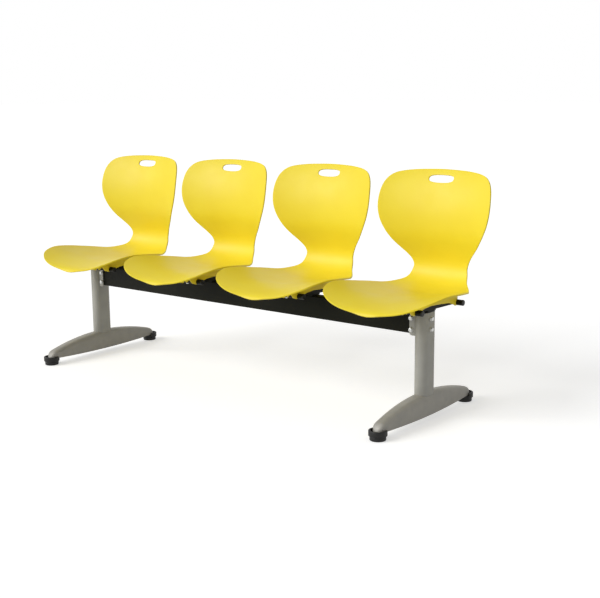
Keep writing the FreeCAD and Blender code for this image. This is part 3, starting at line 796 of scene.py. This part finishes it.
# %% [markdown]
# ## Nose cups
# A nylon cup holds each nose of a foot. Its floor is a turned disc. Its upright rim has to stay open on the
# inner side so that the foot can run in, so a rounded bar is spun only two thirds of the way round.

# %% Cup floor and rim
GLIDE_REACH = 274
CUP_LOW, CUP_TOP, CUP_RADIUS, CUP_INSIDE = 14.3, 33.3, 31, 24.5
CUP_FLOOR, RIM_LOW, RIM_SWEEP = HEEL - 0.2, HEEL - 0.5, 236


def cup_rim(bm, middle, end):
    """The cup's upright rim, open towards the leg."""
    bar = [(CUP_INSIDE, RIM_LOW), (CUP_RADIUS, RIM_LOW)] + rounded((CUP_RADIUS, CUP_TOP), 2.2)
    bar += [(CUP_INSIDE + 1, CUP_TOP), (CUP_INSIDE, CUP_TOP - 1)]
    sweep = math.radians(RIM_SWEEP)
    start = math.copysign(math.pi / 2, end) - sweep / 2
    before = set(bm.verts)
    face = bm.faces.new([bm.verts.new((r * math.cos(start), r * math.sin(start), z)) for r, z in bar])
    bmesh.ops.spin(bm, geom=[face], cent=(0, 0, 0), axis=(0, 0, 1), angle=sweep, steps=40)
    bmesh.ops.translate(bm, vec=Vector(middle), verts=added(bm, before))


def add_cup(bm, middle, end):
    """One cup: its floor with a small lower chamfer, and its rim."""
    chamfer = [(CUP_RADIUS - 1.5, CUP_LOW), (CUP_RADIUS, CUP_LOW + 1.5)]
    spin_profile(bm, [(0, CUP_LOW)] + chamfer + [(CUP_RADIUS, CUP_FLOOR), (0, CUP_FLOOR)], middle)
    cup_rim(bm, middle, end)


print("cup: %.1f mm high, rim %.1f mm thick" % (CUP_TOP - CUP_LOW, CUP_RADIUS - CUP_INSIDE))

# %% [markdown]
# ## Levelling glides
# Below each cup a round base on a threaded stem screws in and out to level the seats. The base is turned,
# with a soft lower edge. The stem's thread is drawn as rings of its real pitch and depth: a true helix looks
# the same at this size and costs far more faces. Base and stem ride on the glide's own body, so both move
# when it is screwed out.

# %% Base and stem
BASE_RADIUS, BASE_HEIGHT, BASE_PLATEAU = 27, 14, 8
STEM_RADIUS, STEM_TOP, THREAD_PITCH, THREAD_DEPTH = 5, 43, 1.5, 0.8


def make_base(middle):
    bm = bmesh.new()
    profile = [(0, 0), (BASE_RADIUS - 2.5, 0), (BASE_RADIUS - 1, 0.5), (BASE_RADIUS, 2)]
    profile += [(BASE_RADIUS, BASE_HEIGHT - 3)] + rounded((BASE_RADIUS, BASE_HEIGHT), 3)[1:]
    spin_profile(bm, profile + [(BASE_PLATEAU, BASE_HEIGHT), (0, BASE_HEIGHT)], middle)
    bmesh.ops.recalc_face_normals(bm, faces=bm.faces)
    return bm


def make_stem(middle):
    bm = bmesh.new()
    rings = 2 * int((STEM_TOP - BASE_HEIGHT) / THREAD_PITCH)
    foot, rise = BASE_HEIGHT - 0.5, THREAD_PITCH / 2
    thread = [(STEM_RADIUS - THREAD_DEPTH * (k % 2), foot + rise * k) for k in range(rings)]
    spin_profile(bm, [(0, thread[0][1])] + thread + [(0, thread[-1][1])], middle, steps=24)
    bmesh.ops.recalc_face_normals(bm, faces=bm.faces)
    return bm


print("base %d mm across, thread M%d" % (2 * BASE_RADIUS, 2 * STEM_RADIUS))

# %% Place cups and glides
for side_name, side in SIDES:
    cups = bmesh.new()
    for end_name, end in ENDS:
        middle = (side * LEG_X, end * GLIDE_REACH, 0)
        corner = side_name + "_" + end_name
        body, node = "levelling_" + corner, "glide_" + corner
        add_cup(cups, middle, end)
        base, stem = make_base(middle), make_stem(middle)
        finish_piece(base, "glide_base_" + corner, black_nylon, body=body, replaces=[node])
        finish_piece(stem, "glide_stem_" + corner, zinc_plate, body=body, smooth_below=80)
    bmesh.ops.recalc_face_normals(cups, faces=cups.faces)
    name, node = "nose_cups_" + side_name, "glide_cups_" + side_name
    finish_piece(cups, name, black_nylon, replaces=[node])
print("cups and glides:", len(SIDES) * len(ENDS))

# %% [markdown]
# ## Bolts and screws
# Hexagon bolts with washers hold the brackets to the beam and the columns, and round-headed screws hold the
# shells. Each bolt head is a six-sided cylinder whose upper corners are chamfered, on a thin turned washer.
# Only what stands proud is made, because the shanks never show.

# %% Hexagon bolts
HEAD_ACROSS, HEAD_HIGH, HEAD_CHAMFER = 13, 5.3, 0.8
WASHER_RADIUS, WASHER_THICK, WASHER_EDGE = 8.5, 1.6, 0.4


def hex_bolt(bm, place, way):
    """A bolt head on a washer, with its axis pointing out of the surface along way."""
    before = set(bm.verts)
    edge = [(WASHER_RADIUS, 0), (WASHER_RADIUS, WASHER_THICK - WASHER_EDGE)]
    edge += [(WASHER_RADIUS - WASHER_EDGE, WASHER_THICK)]
    spin_profile(bm, [(0, 0)] + edge + [(0, WASHER_THICK)], steps=32)
    radius, middle = HEAD_ACROSS / math.sqrt(3), WASHER_THICK + HEAD_HIGH / 2
    head = bmesh.ops.create_cone(
        bm, cap_ends=True, segments=6, radius1=radius, radius2=radius, depth=HEAD_HIGH
    )["verts"]
    bmesh.ops.translate(bm, vec=Vector((0, 0, middle)), verts=head)
    upper = [e for e in bm.edges if all(v in head and v.co.z > middle for v in e.verts)]
    bmesh.ops.bevel(
        bm, geom=upper, offset=HEAD_CHAMFER, segments=2, profile=0.5, affect="EDGES", material=-1
    )
    aim(bm, added(bm, before), way, place)


print("bolt heads: %d mm across flats" % HEAD_ACROSS)

# %% Bolts at the legs
BRACKET_X, BRACKET_FACE, BEAM_BOLTS, COLUMN_BOLTS = 760, 24, (307, 347), (312, 348)
for side_name, side in SIDES:
    bolts = bmesh.new()
    for z in BEAM_BOLTS:
        for way in (-1, 1):
            hex_bolt(bolts, (side * BRACKET_X, way * BRACKET_FACE, z), (0, way, 0))
    for z in COLUMN_BOLTS:
        hex_bolt(bolts, (side * (LEG_X + COLUMN_HALF_WIDTH), 0, z), (side, 0, 0))
    bmesh.ops.recalc_face_normals(bolts, faces=bolts.faces)
    finish_piece(bolts, "leg_bolts_" + side_name, zinc_plate, smooth_below=40)
print("bolts at each leg:", 2 * len(BEAM_BOLTS) + len(COLUMN_BOLTS))

# %% Bolts and screws under the seats
SADDLE_THICK, SADDLE_BOLT_X, SCREW_DROP = 6, 35, 9.8
SCREW_PROFILE = [(0, -3.4), (3, -3.3), (5, -2.2), (6, 0.4), (0, 0.4)]
for index, middle in enumerate(SEAT_MIDDLES, start=1):
    bolts = bmesh.new()
    for side in (-1, 1):
        hex_bolt(bolts, (middle + side * SADDLE_BOLT_X, 0, BEAM_TOP + SADDLE_THICK), (0, 0, 1))
        for _, y, z in TUBES:
            place = (middle + side * POST_SPREAD, y, z - SCREW_DROP)
            spin_profile(bolts, SCREW_PROFILE, place, steps=24)
    bmesh.ops.recalc_face_normals(bolts, faces=bolts.faces)
    finish_piece(bolts, "seat_bolts_%d" % index, zinc_plate, smooth_below=40)
print("sets of seat bolts:", SEATS)

# %% [markdown]
# ## Caps on the cross tubes
# The cross tubes are sawn steel, so each end has a nylon cap with a well rounded rim. It is turned from a
# profile like the glides' and then laid along its tube.

# %% Tube caps
TUBE_HALF, CAP_RADIUS, CAP_BACK, CAP_FRONT = 135, 10.2, -0.5, 3.5
for index, middle in enumerate(SEAT_MIDDLES, start=1):
    caps = bmesh.new()
    for side in (-1, 1):
        for _, y, z in TUBES:
            before = set(caps.verts)
            side_line = [(0, CAP_BACK), (CAP_RADIUS, CAP_BACK)] + rounded((CAP_RADIUS, CAP_FRONT), 2.4)
            spin_profile(caps, side_line + [(0, CAP_FRONT)], steps=40)
            aim(caps, added(caps, before), (side, 0, 0), (middle + side * TUBE_HALF, y, z))
    bmesh.ops.recalc_face_normals(caps, faces=caps.faces)
    finish_piece(caps, "tube_caps_%d" % index, black_nylon)
print("tube caps:", SEATS * 4)

# %% [markdown]
# ## Floor
# The photograph has a white ground on which only soft shadows show. A pale matt floor takes the shadow. To
# rays that come straight from the camera, or by way of a shiny or clear surface, it also glows a little, so
# that it ends in the white of the backdrop without more light on the seats. It lies half a millimetre low,
# clear of the glides.

# %% Rays that look straight at the surroundings
def direct_rays(tree):
    """One for camera, glossy and transmission rays, and nothing for those that carry light."""
    path = add_node(tree, "ShaderNodeLightPath").outputs
    seen = path["Is Camera Ray"]
    for kind in ("Is Glossy Ray", "Is Transmission Ray"):
        both = {0: seen, 1: path[kind]}
        seen = add_node(tree, "ShaderNodeMath", None, both, operation="MAXIMUM").outputs[0]
    return seen


# %% Make the floor
FLOOR_REACH, FLOOR_DROP, FLOOR_GLOW = 60, 0.5, 0.5
WHITE = (1, 1, 1, 1)


def white_floor():
    """A matt white that also glows for direct rays."""
    material = bpy.data.materials.new("white_studio_floor")
    material.use_nodes = True
    tree = material.node_tree
    tree.nodes.clear()
    matt = add_node(tree, "ShaderNodeBsdfDiffuse", {"Color": linear("#EDEDED")})
    lift = add_node(tree, "ShaderNodeMath", {1: FLOOR_GLOW}, {0: direct_rays(tree)}, operation="MULTIPLY")
    glow = add_node(tree, "ShaderNodeEmission", {"Color": WHITE}, {"Strength": lift.outputs[0]})
    both = add_node(tree, "ShaderNodeAddShader", None, {0: matt.outputs[0], 1: glow.outputs[0]})
    add_node(tree, "ShaderNodeOutputMaterial", None, {"Surface": both.outputs[0]})
    return material


bm = bmesh.new()
bmesh.ops.create_grid(bm, x_segments=1, y_segments=1, size=FLOOR_REACH)
mesh = bpy.data.meshes.new("floor")
bm.to_mesh(mesh)
bm.free()
mesh.materials.append(white_floor())
floor = bpy.data.objects.new("floor", mesh)
floor.location.z = -FLOOR_DROP * MM
bpy.context.scene.collection.objects.link(floor)
print("floor:", 2 * FLOOR_REACH, "m wide")

# %% [markdown]
# ## Light
# One broad sun with a soft edge stands for a large softbox at the front left, and gives the same level
# everywhere on the floor, which a near lamp would not. The world fills the shade with a weaker white, and
# direct rays see it plain white.

# %% World and sun
FILL, SUN_POWER, SUN_SPREAD, SUN_SIDE = 0.34, 2.3, 40, (-0.55, -0.85, 0.50)
world = bpy.data.worlds.new("studio")
bpy.context.scene.world = world
world.use_nodes = True
tree = world.node_tree
tree.nodes.clear()
soft = add_node(tree, "ShaderNodeBackground", {"Color": WHITE, "Strength": FILL})
white = add_node(tree, "ShaderNodeBackground", {"Color": WHITE, "Strength": 1.0})
choice = {0: direct_rays(tree), 1: soft.outputs[0], 2: white.outputs[0]}
mix = add_node(tree, "ShaderNodeMixShader", None, choice)
add_node(tree, "ShaderNodeOutputWorld", None, {"Surface": mix.outputs[0]})

lamp = bpy.data.lights.new("front_left_softbox", "SUN")
lamp.energy, lamp.angle = SUN_POWER, math.radians(SUN_SPREAD)
sun = bpy.data.objects.new("front_left_softbox", lamp)
sun.rotation_mode = "QUATERNION"
sun.rotation_quaternion = Vector(SUN_SIDE).to_track_quat("Z", "Y")
bpy.context.scene.collection.objects.link(sun)
print("sun %.1f, fill %.2f" % (SUN_POWER, FILL))

# %% [markdown]
# ## Camera
# The camera stands where the photograph was taken, a little above the backs and to the right of the seats.
# Its place, way and focal length were worked out from the beam, the seats, the columns and the glides. The
# axes of a camera are its right, its up and the way behind it, and the small roll levels the picture.

# %% Place the camera
CAMERA_PLACE = Vector((2.62634, -2.98884, 1.10104))
CAMERA_WAY = Vector((-0.60689, 0.77088, -0.19346))
CAMERA_ROLL = math.radians(-0.435)
FOCAL_PIXELS, IMAGE_WIDTH, SENSOR_WIDTH = 1076.19, 600, 36
camera_data = bpy.data.cameras.new("photo_view")
camera_data.sensor_width = SENSOR_WIDTH
camera_data.lens = SENSOR_WIDTH * FOCAL_PIXELS / IMAGE_WIDTH
camera = bpy.data.objects.new("photo_view", camera_data)
right = CAMERA_WAY.cross(Vector((0, 0, 1))).normalized()
up = right.cross(CAMERA_WAY).normalized()
rolled_right = math.cos(CAMERA_ROLL) * right + math.sin(CAMERA_ROLL) * up
rolled_up = -math.sin(CAMERA_ROLL) * right + math.cos(CAMERA_ROLL) * up
axes = Matrix((rolled_right, rolled_up, -CAMERA_WAY.normalized())).transposed()
camera.matrix_world = Matrix.Translation(CAMERA_PLACE) @ axes.to_4x4()
bpy.context.scene.collection.objects.link(camera)
bpy.context.scene.camera = camera
bpy.context.scene.view_settings.view_transform = "Standard"
print("lens: %.1f mm" % camera_data.lens)
